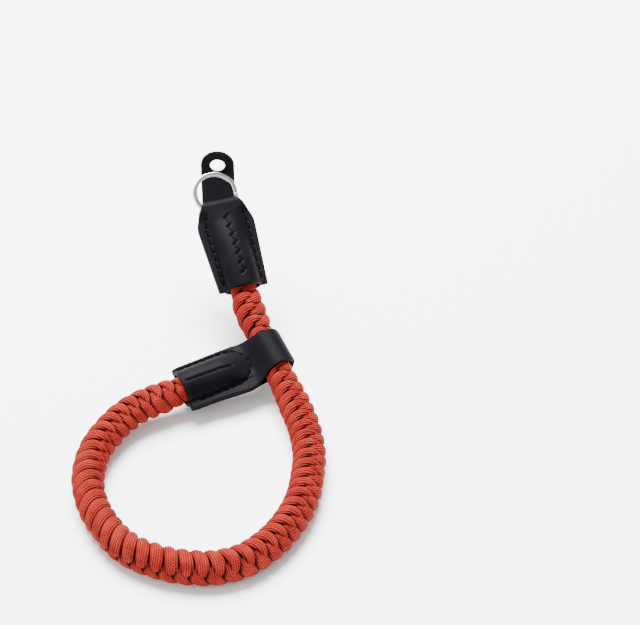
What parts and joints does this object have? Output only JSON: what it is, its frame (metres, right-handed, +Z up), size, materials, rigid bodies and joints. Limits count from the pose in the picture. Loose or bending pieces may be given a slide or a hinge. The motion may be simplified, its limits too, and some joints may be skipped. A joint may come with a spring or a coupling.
{
  "type": "camera wrist strap",
  "caption": "Knotted red cord wrist strap with a teardrop loop, sewn black leather tab and keeper, a split ring and a leather pad behind it, for hanging a camera from the wrist.",
  "frame": {"origin": "on the inside of the split ring, at its top, where the lug that carries the strap passes through it", "axes": "+Z up, +X to the right of the strap as it hangs, +Y away from the wearer; the wrist loop lies towards -Y"},
  "size_m": [0.1021, 0.1968, 0.0661],
  "materials": {
    "cord_red": "woven nylon cord, coral red, dull",
    "leather_black": "smooth black leather with a soft sheen",
    "ring_nickel": "bright nickel plate"
  },
  "bodies": {
    "strap": {"anchor_tab": "leather_black", "braided_cord": "cord_red", "keeper": "leather_black", "lug_pad": "leather_black"},
    "ring": {"split_ring": "ring_nickel"}
  },
  "joints": [
    {"name": "ring_spin", "type": "hinge", "parent": "strap", "child": "ring", "pos_m": [0.00216, -0.00627, -0.00456], "axis": [0.1844, -0.5355, 0.8241], "continuous": true}
  ]
}
